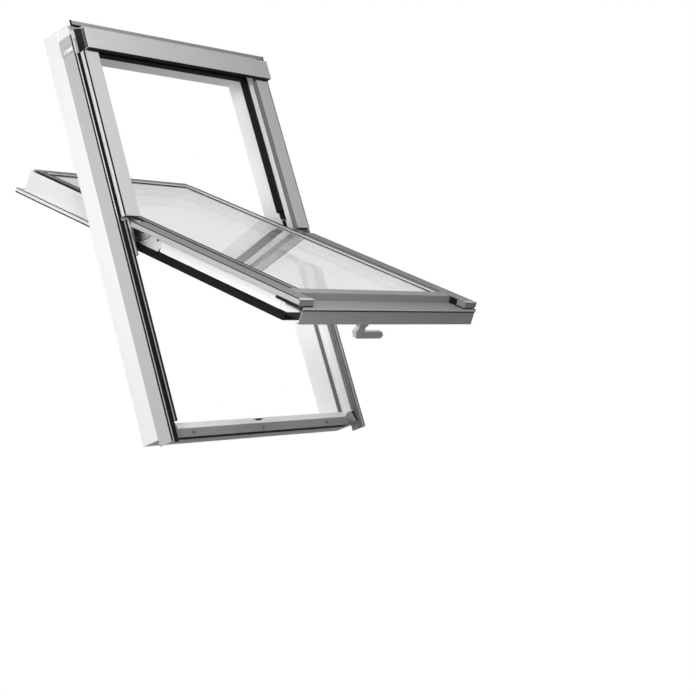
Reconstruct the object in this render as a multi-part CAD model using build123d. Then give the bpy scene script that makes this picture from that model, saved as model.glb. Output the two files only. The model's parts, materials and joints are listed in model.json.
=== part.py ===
from build123d import *
import math
import os

# All lengths are in millimetres. The window is drawn closed: x runs across it, y runs from the
# outside to the room with zero at the front of the side claddings, z runs up with zero at their
# lower end. The sash is then swung to the open pose and everything is moved to the seat.

# Whole window
frame_width = 780.0
frame_height = 1128.0
frame_depth = 100.0
cladding_overhang = 17.0
frame_front = 6.0
sheet = 1.5
overrun = 5.0

# Frame members
jamb_width = 56.5
sill_height = 38.0
head_height = 48.0
rebate_width = 33.0
rebate_depth = 36.0

# Pivot, which lies outside the glass so that the sash slides round it on curved guides
pivot_reach = 35.0
pivot_rise = 12.0
open_angle = 50.0

# Hinges
slide_inner_radius = 68.0
slide_outer_radius = 118.0
slide_start_angle = -30.0
slide_end_angle = 69.0
guide_start_angle = -32.5
guide_end_angle = 95.0
slide_gap = 0.1
guide_thickness = 9.0
guide_depth = 82.0
guide_below = 98.0
guide_above = 69.0
slide_engagement = 4.0
slide_face_gap = 0.5
slide_front = -1.5
hinge_base_below = 113.0
hinge_base_above = 57.0
guide_screw_inset = 11.0
guide_core_screw_radius = 47.0
slide_screw_radius = 95.0
slide_screw_angles = (-15.0, 62.0)

# Screws
screw_shank_radius = 1.9
screw_head_radius = 4.0
screw_head_height = 2.0
screw_length = 18.0
slide_screw_length = 24.0
screw_fit = 0.1

# Side claddings
side_clad_depth = 46.0
side_clad_drop = 36.0
front_strip_width = 7.5
channel_depth = 4.5
channel_seal_height = 2.0
front_seal_width = 10.0
front_seal_proud = 3.0
front_seal_round = 2.5
front_seal_gap = 3.0

# Covers over the upper half of the frame
cover_width = 52.0
cover_inset = 19.0
cover_front = -16.0
cover_inner_edge = 0.0
cover_gap = 1.0
cover_top_gap = 1.0
plug_height = 8.0
plug_depth = 10.0

# Hood
hood_side_inset = 21.0
hood_reach = 40.0
hood_drop = 80.0
hood_front_height = 58.0
hood_slope_rise = 14.0
hood_plate_set_back = 24.0
hood_plate_rise = 15.0
hood_plate_inset = 1.0
hood_return = 14.0
hood_end_depth = 12.0
hood_cap_thickness = 3.0
hood_cap_inset = 1.0
hood_seal_rise = 14.0
hood_seal_reach = 18.0
hood_seal_lip = 3.0
hood_seal_gap = 1.0

# Corner caps at the top of the side claddings
cap_proud = 2.0
cap_overlap = 42.0
cap_rise = 5.0
cap_front = 1.5
cap_round = 7.0
cap_slot_length = 22.0
cap_slot_height = 4.0
cap_slot_drop = 22.0
cap_slot_inset = 11.0

# Frame seals
upper_seal_thickness = 10.0
upper_seal_inset = 20.0
upper_seal_depth = 20.0
upper_seal_gap = 2.0
ledge_seal_offset = 2.0
ledge_seal_width = 14.0
ledge_seal_height = 3.0
ledge_seal_gap = 2.0

# Sill fittings
sill_clad_height = 23.0
sill_clad_side_gap = 2.0
sill_end_back_height = 25.0
sill_end_height = 33.0
sill_end_back_slope = 11.0
sill_end_front_slope = 9.0
sill_end_front = -5.0
sill_seal_depth = 24.0
sill_seal_thickness = 3.0
sill_seal_recess = 0.5
sill_screw_inset = 120.0
sill_screw_share = 0.5
notch_x = -10.0
notch_half_width = 24.0
notch_drop = 8.0
notch_depth = 22.0
keeper_clear = 0.2
keeper_thickness = 2.5
keeper_set_back = 1.0
keeper_drop = 1.5

# Sash members
sash_side_gap = 4.0
sash_end_gap = 5.0
sash_lip_width = 10.0
sash_lip_depth = 13.0
stile_width = 30.0
sash_upstand_step = 2.5
sash_upstand_thickness = 5.5
sash_back = 60.0
sash_shoulder = 15.0
sash_step = 1.0
sash_clad_front = -15.0
bottom_rail_height = 34.0
top_rail_height = 32.0
top_lip_height = 28.0
top_upstand_thickness = 10.0
outer_rail_bottom = 2.0
outer_rail_depth = 25.5
outer_rail_step = 2.0
extension_inset = 15.0
extension_gap = 2.0

# Seal along the lower half of each stile
sash_seal_depth = 19.0
sash_seal_proud = 1.0
sash_seal_back_lip = 3.0
slide_seal_gap = 0.5

# Glazing
glass_overlap = 10.0
glass_seat = 6.0
glass_top_overlap = 20.0
glass_front = -11.0
pane_thickness = 4.0
cavity = 16.0
spacer_inset = 4.0
spacer_width = 8.0
outer_gasket_lip = 10.0
outer_gasket_top_cover = 18.0
outer_gasket_low_cover = 10.0
inner_gasket_cover = 10.0

# Sash claddings
sash_clad_lap = 2.0
sash_flange = 14.0
sash_clad_top_gap = 6.0
sash_clad_bottom = -4.0
strip_width = 15.0
strip_groove = 11.5
top_strip_flange = 16.0
top_strip_lap = 9.0
rail_clad_lap = 11.0
ledge_y = 4.0
ledge_length = 45.0
ledge_gap = 0.5
corner_edge_gap = 2.0
drip_inset = 8.5
drip_front = -11.0
drip_nose = 3.0
drip_nose_width = 4.0
drip_depth = 40.0
drip_back_lip = 7.0
corner_plug_height = 24.0
rail_plug_inset = 10.0
rail_plug_depth = 18.5

# Handle and latch
handle_x = 14.0
handle_rise = 22.0
handle_base_half_width = 28.0
handle_base_tip_half_width = 14.0
handle_base_reach = 22.0
handle_base_height = 18.0
spindle_radius = 4.0
spindle_fit = 0.06
spindle_depth = 8.0
lever_gap = 0.6
lever_height = 14.0
lever_hub_reach = 32.0
lever_bar_depth = 18.0
lever_tail = 12.0
lever_tail_point = 10.0
lever_reach = 88.0
lever_tip_point = 8.0
lever_hub_half_width = 12.0
lever_edge_bevel = 0.6
bolt_half_width = 4.0
bolt_inset = 9.0
bolt_depth = 10.0
bolt_recess = 1.0
bolt_length = 14.0
bolt_gap = 0.4

# Places across the window that follow from the sizes above
half_width = frame_width / 2
outer_x = half_width - sheet
reveal_x = outer_x - jamb_width
rebate_x = reveal_x + rebate_width
strip_x = half_width - front_strip_width
cover_x = half_width - cover_inset
hood_half_width = half_width - hood_side_inset
sash_half_width = reveal_x - sash_side_gap
sash_body_half_width = sash_half_width - sash_lip_width
sash_upstand_half_width = sash_body_half_width - sash_upstand_step
sash_sight_half_width = sash_half_width - stile_width
glass_half_width = sash_sight_half_width + glass_overlap
sash_clad_half_width = rebate_x + sash_clad_lap
strip_outer = sash_upstand_half_width - strip_groove
strip_inner = strip_outer - strip_width
extension_half_width = sash_clad_half_width - extension_inset
outer_rail_half_width = extension_half_width - outer_rail_step
drip_half_width = sash_clad_half_width - drip_inset

# Places from the outside to the room
pivot_y = -pivot_reach
guide_back = frame_front + guide_depth
seal_groove_back = rebate_depth + sill_seal_depth
seat_y = (seal_groove_back + frame_depth) / 2
hood_front = frame_front - hood_reach
hood_back = frame_front - sheet
hood_split = hood_front + hood_end_depth
upper_seal_near = frame_front + upper_seal_inset
sheet_back = sash_clad_front + sheet
glass_back = glass_front + pane_thickness + cavity + pane_thickness
sash_lip_front = sash_back - sash_lip_depth
sash_seal_back = sash_back - sash_seal_back_lip
sash_seal_front = sash_seal_back - sash_seal_depth
outer_rail_front = ledge_y + sheet
outer_rail_back = outer_rail_front + outer_rail_depth
bolt_back = sash_back - bolt_inset
bolt_front = bolt_back - bolt_depth
handle_face = sash_back + handle_base_reach + lever_gap

# Places up the window
frame_bottom = cladding_overhang
frame_top = frame_bottom + frame_height
sill_top = frame_bottom + sill_height
head_bottom = frame_top - head_height
pivot_z = frame_bottom + frame_height / 2 + pivot_rise
guide_bottom = pivot_z - guide_below
guide_top = pivot_z + guide_above
side_clad_top = frame_top - side_clad_drop
cap_bottom = side_clad_top - cap_overlap
cap_top = side_clad_top + cap_rise
hood_bottom = frame_top - hood_drop
hood_front_top = hood_bottom + hood_front_height
hood_ridge = hood_front_top + hood_slope_rise
cover_bottom = pivot_z + cover_gap
cover_top = hood_bottom - cover_top_gap
sash_rail_low = sill_top + sash_end_gap
sash_rail_sight = sash_rail_low + bottom_rail_height
sash_top_lip = head_bottom - sash_end_gap
sash_top_body = sash_top_lip - top_lip_height
sash_top_sight = sash_top_body - top_rail_height
glass_bottom = sash_rail_low + glass_seat
glass_top = sash_top_sight + glass_top_overlap
sash_clad_top = pivot_z - sash_clad_top_gap
extension_top = pivot_z - hinge_base_below - extension_gap
step_z = outer_rail_bottom + ledge_length
rail_clad_sight = glass_bottom + rail_clad_lap
top_strip_bottom = glass_top - top_strip_lap
front_seal_low = step_z + sash_end_gap
handle_z = sash_rail_low + handle_rise
bolt_low = sash_rail_low + bolt_recess
bolt_high = bolt_low + bolt_length
notch_radius = (notch_half_width ** 2 + notch_drop ** 2) / (2 * notch_drop)
notch_z = sill_top - notch_drop + notch_radius

parts = {}


def block(x0, x1, y0, y1, z0, z1):
    middle = ((x0 + x1) / 2, (y0 + y1) / 2, (z0 + z1) / 2)
    return Pos(*middle) * Box(x1 - x0, y1 - y0, z1 - z0)


def along_x(points, x0, x1):
    outline = make_face(Polyline(*points, close=True))
    return extrude(Plane.YZ.offset(x0) * outline, x1 - x0)


def along_y(points, y0, y1):
    outline = make_face(Polyline(*points, close=True))
    return extrude(Plane.XZ.offset(-y0) * outline, y1 - y0, dir=(0, 1, 0))


def along_z(points, z0, z1):
    outline = make_face(Polyline(*points, close=True))
    return extrude(Plane.XY.offset(z0) * outline, z1 - z0)


# A folded sheet: the seen line, then the same line moved to its right by the gauge
def folded(points, gauge):
    line = [Vector(*point) for point in points]
    steps = [(b - a).normalized() for a, b in zip(line, line[1:])]
    rights = [Vector(step.Y, -step.X) for step in steps]
    moved = [line[0] + rights[0] * gauge]
    for point, before, after in zip(line[1:], rights, rights[1:]):
        moved.append(point + (before + after) * (gauge / (1 + before.dot(after))))
    moved.append(line[-1] + rights[-1] * gauge)
    return [(p.X, p.Y) for p in line + moved[::-1]]


def left_of(solid):
    return mirror(solid, about=Plane.YZ)


# A point at a radius and angle round the pivot, from inwards towards downwards
def round_pivot(radius, angle):
    turn = math.radians(angle)
    return (pivot_y + radius * math.cos(turn), pivot_z - radius * math.sin(turn))


def ring_sector(inner, outer, start, end, x0, x1):
    middle = (start + end) / 2
    far = [round_pivot(outer, angle) for angle in (start, middle, end)]
    near = [round_pivot(inner, angle) for angle in (end, middle, start)]
    arcs = [ThreePointArc(*far), ThreePointArc(*near)]
    outline = make_face(arcs + [Line(far[-1], near[0]), Line(near[-1], far[0])])
    return extrude(Plane.YZ.offset(x0) * outline, x1 - x0)


def rod_x(radius, y, z, x0, x1):
    return Pos((x0 + x1) / 2, y, z) * Rot(0, 90, 0) * Cylinder(radius, x1 - x0)


def rod_y(radius, x, z, y0, y1):
    return Pos(x, (y0 + y1) / 2, z) * Rot(90, 0, 0) * Cylinder(radius, y1 - y0)


def add(name, solid, on_sash=False):
    parts[name] = (solid, on_sash)


def add_pair(name, solid, on_sash=False):
    add("left_" + name, left_of(solid), on_sash)
    add("right_" + name, solid, on_sash)


# Frame members, mitred from the outer to the inner corner
def rebate_space():
    return block(-rebate_x, rebate_x, -overrun, rebate_depth, -overrun, guide_bottom)


# The room that the claddings take at the outer corner of the frame
def cladding_space():
    right = block(outer_x, half_width + overrun, 0, side_clad_depth, 0, frame_top + overrun)
    return right + left_of(right)


def guide_screw_places():
    corner_y = guide_back - guide_screw_inset
    low = (corner_y, guide_bottom + guide_screw_inset)
    high = (corner_y, guide_top - guide_screw_inset)
    core = (pivot_y + guide_core_screw_radius, pivot_z)
    return (low, high, core)


def make_jamb():
    outline = [(half_width, frame_bottom), (half_width, frame_top)]
    outline += [(reveal_x, head_bottom), (reveal_x, sill_top)]
    jamb = along_y(outline, frame_front, frame_depth) - rebate_space() - cladding_space()
    pocket_front = frame_front - overrun
    pocket_x = reveal_x + guide_thickness
    jamb -= block(reveal_x - overrun, pocket_x, pocket_front, guide_back, guide_bottom, guide_top)
    for y, z in guide_screw_places():
        jamb -= rod_x(screw_shank_radius + screw_fit, y, z, reveal_x, reveal_x + screw_length + overrun)
    return jamb


def make_head():
    outline = [(-half_width, frame_top), (half_width, frame_top)]
    outline += [(reveal_x, head_bottom), (-reveal_x, head_bottom)]
    return along_y(outline, frame_front, frame_depth) - cladding_space()


def sill_screw_places():
    level = frame_bottom + sill_clad_height * sill_screw_share
    side = half_width - sill_screw_inset
    return [(x, level) for x in (-side, 0, side)]


def make_sill():
    outline = [(-half_width, frame_bottom), (half_width, frame_bottom)]
    outline += [(reveal_x, sill_top), (-reveal_x, sill_top)]
    sill = along_y(outline, frame_front, frame_depth) - rebate_space() - cladding_space()
    groove_top = frame_bottom + sill_seal_thickness
    sill -= block(-rebate_x, rebate_x, 0, seal_groove_back, 0, groove_top)
    sill -= rod_y(notch_radius, notch_x, notch_z, 0, rebate_depth + notch_depth)
    for x, z in sill_screw_places():
        sill -= rod_y(screw_shank_radius + screw_fit, x, z, 0, rebate_depth + screw_length)
    return sill


# Side cladding: outer wall, front strip and channel in one sheet
def make_side_cladding():
    line = [(half_width, side_clad_depth), (half_width, 0), (strip_x, 0), (strip_x, channel_depth)]
    line += [(rebate_x, channel_depth)]
    return along_z(folded(line, sheet), 0, side_clad_top)


def make_channel_seal():
    top = channel_depth - channel_seal_height
    low = block(rebate_x, strip_x, top, channel_depth, 0, sash_clad_top)
    high = block(cover_x, strip_x, top, channel_depth, sash_clad_top, cover_top)
    return low + high


def make_front_seal():
    inner = rebate_x - front_seal_width
    seal = block(inner, rebate_x, -front_seal_proud, frame_front, front_seal_low, sash_clad_top)
    crown = seal.edges().filter_by(Axis.Z).group_by(Axis.Y)[0]
    return fillet(crown, front_seal_round)


def make_upper_cover():
    inner = cover_x - cover_width
    line = [(cover_x, channel_depth), (cover_x, cover_front)]
    line += [(inner, cover_front), (inner, cover_inner_edge)]
    return along_z(folded(line, sheet), cover_bottom, cover_top)


def make_cover_plug():
    outer = cover_x - sheet
    inner = cover_x - cover_width + sheet
    front = cover_front + sheet
    return block(inner, outer, front, front + plug_depth, cover_bottom, cover_bottom + plug_height)


# Hood over the head of the frame, with a folded plate and a cap at each end
def hood_line():
    line = [(hood_front, hood_bottom), (hood_front, hood_front_top)]
    return line + [(hood_back, hood_ridge)]


def hood_slope():
    return hood_slope_rise / (hood_back - hood_front)


def make_hood():
    line = [(hood_front + hood_return, hood_bottom)] + hood_line() + [(hood_back, frame_top)]
    hood = along_x(folded(line, sheet), -hood_half_width, hood_half_width)
    end = along_x(hood_line() + [(hood_back, hood_bottom)], hood_half_width - sheet, hood_half_width)
    end -= block(0, half_width, hood_split, frame_depth, 0, frame_top)
    edge = half_width - hood_plate_inset
    low = hood_front_top + hood_slope() * hood_plate_set_back - sheet / 2
    front = hood_front + hood_plate_set_back
    plate = block(-edge, edge, front, front + sheet, low, hood_ridge + hood_plate_rise)
    return hood + end + left_of(end) + plate


def make_hood_end_cap():
    low = hood_bottom + hood_cap_inset
    back = hood_back - hood_cap_inset
    lowering = hood_cap_inset + sheet
    split_top = hood_front_top - lowering + hood_slope() * hood_end_depth
    line = [(hood_split, low), (hood_split, split_top)]
    line += [(back, hood_ridge - lowering), (back, low)]
    return along_x(line, hood_half_width - hood_cap_thickness, hood_half_width)


def make_hood_seal():
    floor = hood_bottom + sheet
    front = hood_front + sheet
    tip = frame_front + hood_seal_reach
    line = [(front, floor), (hood_front + hood_return, floor), (tip, head_bottom - hood_seal_lip)]
    line += [(tip, head_bottom), (frame_front, head_bottom), (frame_front, head_bottom + hood_seal_lip)]
    line += [(front, floor + hood_seal_rise)]
    return along_x(line, hood_seal_gap - reveal_x, reveal_x - hood_seal_gap)


def make_corner_cap():
    outer = half_width + cap_proud
    cap = block(strip_x, outer, -cap_front, side_clad_depth, cap_bottom, cap_top)
    back_edge = cap.edges().filter_by(Axis.X).group_by(Axis.Y)[-1].sort_by(Axis.Z)[-1]
    cap = fillet(back_edge, cap_round)
    cap -= block(0, half_width, 0, frame_depth, 0, side_clad_top)
    cap -= block(0, outer_x, frame_front, frame_depth, 0, frame_top)
    slot_top = cap_top - cap_slot_drop
    slot_far = cap_slot_inset + cap_slot_length
    cap -= block(half_width, outer, cap_slot_inset, slot_far, slot_top - cap_slot_height, slot_top)
    return cap


# Seals on the frame
def make_upper_seal():
    inner = reveal_x - upper_seal_thickness
    low = guide_top + upper_seal_gap
    far = upper_seal_near + upper_seal_depth
    seal = block(-reveal_x, reveal_x, upper_seal_near, far, low, head_bottom)
    crown = head_bottom - upper_seal_thickness
    return seal - block(-inner, inner, upper_seal_near, far, low, crown)


def make_ledge_seal():
    near = reveal_x + ledge_seal_offset
    front = rebate_depth - ledge_seal_height
    top = guide_bottom - ledge_seal_gap
    return block(near, near + ledge_seal_width, front, rebate_depth, sill_top, top)


# Sill fittings
def make_sill_cladding():
    edge = rebate_x - sill_clad_side_gap
    front = rebate_depth - sheet
    top = frame_bottom + sill_clad_height
    crown = frame_bottom + sill_end_height
    end = [(rebate_depth, frame_bottom), (rebate_depth, frame_bottom + sill_end_back_height)]
    end += [(rebate_depth - sill_end_back_slope, crown), (sill_end_front + sill_end_front_slope, crown)]
    end += [(sill_end_front, frame_bottom)]
    upstand = along_x(end, edge - sheet, edge)
    clad = block(-edge, edge, front, rebate_depth, frame_bottom, top) + upstand + left_of(upstand)
    for x, z in sill_screw_places():
        clad -= rod_y(screw_shank_radius + screw_fit, x, z, 0, rebate_depth)
    return clad


def make_sill_seal():
    low = frame_bottom + sill_seal_recess
    top = frame_bottom + sill_seal_thickness
    return block(-rebate_x, rebate_x, rebate_depth, seal_groove_back, low, top)


def make_sill_screws():
    seat = rebate_depth - sheet
    screws = []
    for x, z in sill_screw_places():
        shank = rod_y(screw_shank_radius, x, z, seat, rebate_depth + screw_length)
        screws.append(shank + rod_y(screw_head_radius, x, z, seat - screw_head_height, seat))
    return Compound(screws)


def make_keeper():
    front = rebate_depth + keeper_set_back
    moon = rod_y(notch_radius - keeper_clear, notch_x, notch_z, front, front + keeper_thickness)
    return moon - block(-half_width, half_width, 0, frame_depth, sill_top - keeper_drop, frame_top)


# Pivot hinges: a curved guide let into the jamb and a curved slide on the sash
def make_hinge_guide():
    back = reveal_x + guide_thickness
    guide = block(reveal_x, back, frame_front, guide_back, guide_bottom, guide_top)
    inner = slide_inner_radius - slide_gap
    outer = slide_outer_radius + slide_gap
    floor = reveal_x + slide_engagement + slide_face_gap
    guide -= ring_sector(inner, outer, guide_start_angle, guide_end_angle, reveal_x - overrun, floor)
    for y, z in guide_screw_places():
        guide -= rod_x(screw_shank_radius + screw_fit, y, z, reveal_x, back)
        guide -= rod_x(screw_head_radius + screw_fit, y, z, reveal_x, reveal_x + screw_head_height)
    return guide


def make_guide_screws():
    screws = []
    for y, z in guide_screw_places():
        neck = reveal_x + screw_head_height
        shank = rod_x(screw_shank_radius, y, z, neck, reveal_x + screw_length)
        screw = shank + rod_x(screw_head_radius, y, z, reveal_x, neck)
        screws += [screw, left_of(screw)]
    return Compound(screws)


def slide_screw_places():
    return [round_pivot(slide_screw_radius, angle) for angle in slide_screw_angles]


def slide_tip():
    return reveal_x + slide_engagement


def make_hinge_slide():
    base_low = pivot_z - hinge_base_below
    base_high = pivot_z + hinge_base_above
    base = block(sash_body_half_width, sash_half_width, sash_step, outer_rail_back, base_low, base_high)
    edges = (slide_start_angle, slide_end_angle)
    slide = ring_sector(slide_inner_radius, slide_outer_radius, *edges, sash_half_width, slide_tip())
    slide -= block(0, half_width, pivot_y - slide_outer_radius, slide_front, 0, frame_top)
    seal_room = sash_seal_front - slide_seal_gap
    slide -= block(0, half_width, seal_room, frame_depth, 0, sash_clad_top + slide_seal_gap)
    hinge = base + slide
    for y, z in slide_screw_places():
        hinge -= rod_x(screw_shank_radius + screw_fit, y, z, sash_body_half_width, slide_tip())
        hinge -= rod_x(screw_head_radius + screw_fit, y, z, slide_tip() - screw_head_height, slide_tip())
    return hinge


def make_slide_screws():
    screws = []
    for y, z in slide_screw_places():
        neck = slide_tip() - screw_head_height
        shank = rod_x(screw_shank_radius, y, z, slide_tip() - slide_screw_length, neck)
        screw = shank + rod_x(screw_head_radius, y, z, neck, slide_tip())
        screws += [screw, left_of(screw)]
    return Compound(screws)


# Sash members
def make_stile():
    upstand_inner = sash_upstand_half_width - sash_upstand_thickness
    line = [(sash_sight_half_width, sash_shoulder), (sash_sight_half_width, sash_back)]
    line += [(sash_half_width, sash_back), (sash_half_width, sash_seal_back)]
    line += [(sash_body_half_width, sash_seal_back), (sash_body_half_width, sash_step)]
    line += [(sash_upstand_half_width, sash_step), (sash_upstand_half_width, glass_front)]
    line += [(upstand_inner, glass_front), (upstand_inner, sash_shoulder)]
    stile = along_z(line, sash_rail_low, sash_top_body)
    sides = (sash_body_half_width, sash_half_width)
    stile += block(*sides, sash_lip_front, sash_seal_back, sash_clad_top, sash_top_body)
    lip = (sash_sight_half_width, sash_half_width, sash_lip_front, sash_back)
    stile += block(*lip, sash_top_body, sash_top_lip)
    for y, z in slide_screw_places():
        stile -= rod_x(screw_shank_radius + screw_fit, y, z, sash_sight_half_width, half_width)
    return stile


def make_top_rail():
    low = sash_top_body - top_upstand_thickness
    line = [(sash_shoulder, sash_top_sight), (sash_back, sash_top_sight), (sash_back, sash_top_lip)]
    line += [(sash_lip_front, sash_top_lip), (sash_lip_front, sash_top_body)]
    line += [(sash_shoulder, sash_top_body)]
    rail = along_x(line, -sash_sight_half_width, sash_sight_half_width)
    edge = sash_upstand_half_width - sash_upstand_thickness
    return rail + block(-edge, edge, sheet_back, sash_shoulder, low, sash_top_body)


def make_bottom_rail():
    edge = outer_rail_half_width
    shelf = step_z + sheet
    rail = block(-edge, edge, outer_rail_front, outer_rail_back, outer_rail_bottom, sash_rail_low)
    rail += block(-edge, edge, sheet_back, outer_rail_front, shelf, sash_rail_low)
    sight = sash_sight_half_width
    rail += block(-sight, sight, sash_shoulder, sash_back, sash_rail_low, sash_rail_sight)
    rail -= rod_y(spindle_radius + spindle_fit, handle_x, handle_z, bolt_back, sash_back)
    side = bolt_half_width + bolt_gap
    top = bolt_high + bolt_gap
    slot = (bolt_front - bolt_gap, bolt_back + bolt_gap)
    rail -= block(notch_x - side, notch_x + side, *slot, sash_rail_low, top)
    return rail


def make_extension():
    outer = extension_half_width
    ends = (sash_rail_low, extension_top)
    back = block(sash_body_half_width, outer, sash_step, outer_rail_back, *ends)
    return back + block(sash_upstand_half_width, outer, sheet_back, sash_step, *ends)


def make_sash_seal():
    sides = (sash_body_half_width, sash_half_width + sash_seal_proud)
    return block(*sides, sash_seal_front, sash_seal_back, sash_rail_low, sash_clad_top)


# Sealed glazing unit
def make_pane(front):
    edge = glass_half_width
    return block(-edge, edge, front, front + pane_thickness, glass_bottom, glass_top)


def ring(half, low, high, width, y0, y1):
    outer = block(-half, half, y0, y1, low, high)
    return outer - block(width - half, half - width, y0, y1, low + width, high - width)


def make_spacer():
    half = glass_half_width - spacer_inset
    front = glass_front + pane_thickness
    low = glass_bottom + spacer_inset
    return ring(half, low, glass_top - spacer_inset, spacer_width, front, front + cavity)


def make_outer_gasket():
    edge = sash_upstand_half_width
    lip = strip_inner - outer_gasket_lip
    low = glass_bottom + outer_gasket_low_cover
    high = glass_top - outer_gasket_top_cover
    gasket = block(-edge, edge, sheet_back, glass_front, glass_bottom, glass_top)
    return gasket - block(-lip, lip, sheet_back, glass_front, low, high)


def make_inner_gasket():
    return ring(glass_half_width, glass_bottom, glass_top, inner_gasket_cover, glass_back, sash_shoulder)


# Sash claddings
def make_stile_cladding():
    flange_back = sash_clad_front + sash_flange
    line = [(sash_clad_half_width, flange_back), (sash_clad_half_width, sash_clad_front)]
    line += [(sash_upstand_half_width, sash_clad_front)]
    clad = along_z(folded(line, sheet), sash_clad_bottom, sash_clad_top)
    low = sash_clad_bottom
    inner = sash_upstand_half_width
    plug_low = step_z - ledge_gap - corner_plug_height
    clad += block(inner, inner + sheet, sash_clad_front, ledge_y, low, plug_low)
    edge = rebate_x - corner_edge_gap
    clad += block(inner, edge, sash_clad_front, ledge_y, low, low + sheet)
    return clad + block(edge, sash_clad_half_width, sash_clad_front, flange_back, low, low + sheet)


def make_side_strip():
    front = (sash_clad_front, sheet_back)
    return block(strip_inner, strip_outer, *front, rail_clad_sight, top_strip_bottom)


def make_top_strip():
    crown = sash_top_body + sheet
    line = [(sash_clad_front, top_strip_bottom), (sash_clad_front, crown)]
    line += [(sash_clad_front + top_strip_flange, crown)]
    return along_x(folded(line, sheet), -strip_outer, strip_outer)


def make_rail_cladding():
    line = [(ledge_y, step_z), (sash_clad_front, step_z), (sash_clad_front, rail_clad_sight)]
    return along_x(folded(line, sheet), -sash_upstand_half_width, sash_upstand_half_width)


def make_drip_cover():
    nose_back = ledge_y + drip_nose_width
    line = [(ledge_y, step_z - ledge_gap), (ledge_y, drip_front - drip_nose)]
    line += [(nose_back, drip_front - drip_nose), (nose_back, drip_front)]
    back = ledge_y + drip_depth
    line += [(back, drip_front), (back, drip_front + drip_back_lip)]
    return along_x(folded(line, -sheet), -drip_half_width, drip_half_width)


def make_corner_plug():
    top = step_z - ledge_gap
    low = sash_clad_bottom + sheet
    inner = sash_upstand_half_width
    depths = (sheet_back, ledge_y - ledge_gap)
    plug = block(inner, drip_half_width, *depths, top - corner_plug_height, top)
    return plug + block(inner + sheet, drip_half_width, *depths, low, top - corner_plug_height)


def make_rail_plug():
    front = outer_rail_front + rail_plug_inset
    sides = (outer_rail_half_width, drip_half_width)
    return block(*sides, front, front + rail_plug_depth, drip_front + sheet, step_z)


# Handle and latch
def make_handle_base():
    wide = handle_base_half_width
    narrow = handle_base_tip_half_width
    tip = sash_back + handle_base_reach
    line = [(-wide, sash_back), (wide, sash_back), (narrow, tip), (-narrow, tip)]
    low = handle_z - handle_base_height / 2
    base = Pos(handle_x, 0, 0) * along_z(line, low, low + handle_base_height)
    return base - rod_y(spindle_radius + spindle_fit, handle_x, handle_z, sash_back, tip)


def make_lever():
    far = handle_face + lever_hub_reach
    near_bar = far - lever_bar_depth
    middle = (handle_face + far) / 2
    hub = lever_hub_half_width
    line = [(-lever_tail, handle_face), (-lever_tail - lever_tail_point, middle), (-lever_tail, far)]
    line += [(lever_reach, far), (lever_reach + lever_tip_point, far - lever_bar_depth / 2)]
    line += [(lever_reach, near_bar), (hub, near_bar), (hub, handle_face)]
    low = handle_z - lever_height / 2
    lever = Pos(handle_x, 0, 0) * along_z(line, low, low + lever_height)
    rims = lever.edges().group_by(Axis.Z)
    lever = chamfer(rims[0] + rims[-1], lever_edge_bevel)
    return lever + rod_y(spindle_radius, handle_x, handle_z, bolt_back + spindle_depth / 2, handle_face)


def make_bolt():
    sides = (notch_x - bolt_half_width, notch_x + bolt_half_width)
    return block(*sides, bolt_front, bolt_back, bolt_low, bolt_high)


def build_frame():
    add_pair("jamb", make_jamb())
    add("head", make_head())
    add("sill", make_sill())
    add_pair("side_cladding", make_side_cladding())
    add_pair("channel_seal", make_channel_seal())
    add_pair("front_seal", make_front_seal())
    add_pair("upper_cover", make_upper_cover())
    add_pair("cover_plug", make_cover_plug())
    add("hood", make_hood())
    add("hood_seal", make_hood_seal())
    add_pair("hood_end_cap", make_hood_end_cap())
    add_pair("corner_cap", make_corner_cap())
    add("upper_seal", make_upper_seal())
    add_pair("ledge_seal", make_ledge_seal())
    add("sill_cladding", make_sill_cladding())
    add("sill_seal", make_sill_seal())
    add("sill_screws", make_sill_screws())
    add("keeper", make_keeper())
    add_pair("hinge_guide", make_hinge_guide())
    add("guide_screws", make_guide_screws())


def build_sash():
    add_pair("stile", make_stile(), True)
    add("top_rail", make_top_rail(), True)
    add("bottom_rail", make_bottom_rail(), True)
    add_pair("stile_extension", make_extension(), True)
    add_pair("sash_seal", make_sash_seal(), True)
    add("outer_pane", make_pane(glass_front), True)
    add("inner_pane", make_pane(glass_front + pane_thickness + cavity), True)
    add("glass_spacer", make_spacer(), True)
    add("outer_gasket", make_outer_gasket(), True)
    add("inner_gasket", make_inner_gasket(), True)
    add_pair("stile_cladding", make_stile_cladding(), True)
    add_pair("side_strip", make_side_strip(), True)
    add("top_strip", make_top_strip(), True)
    add("rail_cladding", make_rail_cladding(), True)
    add("drip_cover", make_drip_cover(), True)
    add_pair("corner_plug", make_corner_plug(), True)
    add_pair("rail_plug", make_rail_plug(), True)
    add_pair("hinge_slide", make_hinge_slide(), True)
    add("slide_screws", make_slide_screws(), True)
    add("handle_base", make_handle_base(), True)
    add("lever", make_lever(), True)
    add("latch_bolt", make_bolt(), True)


build_frame()
build_sash()
to_seat = Pos(0, -seat_y, -frame_bottom)
swing = Pos(0, pivot_y, pivot_z) * Rot(-open_angle, 0, 0) * Pos(0, -pivot_y, -pivot_z)
os.makedirs("parts", exist_ok=True)
for name, (solid, on_sash) in parts.items():
    placed = to_seat * swing * solid if on_sash else to_seat * solid
    export_step(placed, f"parts/{name}.step")
    size = placed.bounding_box().size
    print(name, [round(value, 1) for value in size], round(placed.volume))
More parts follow.
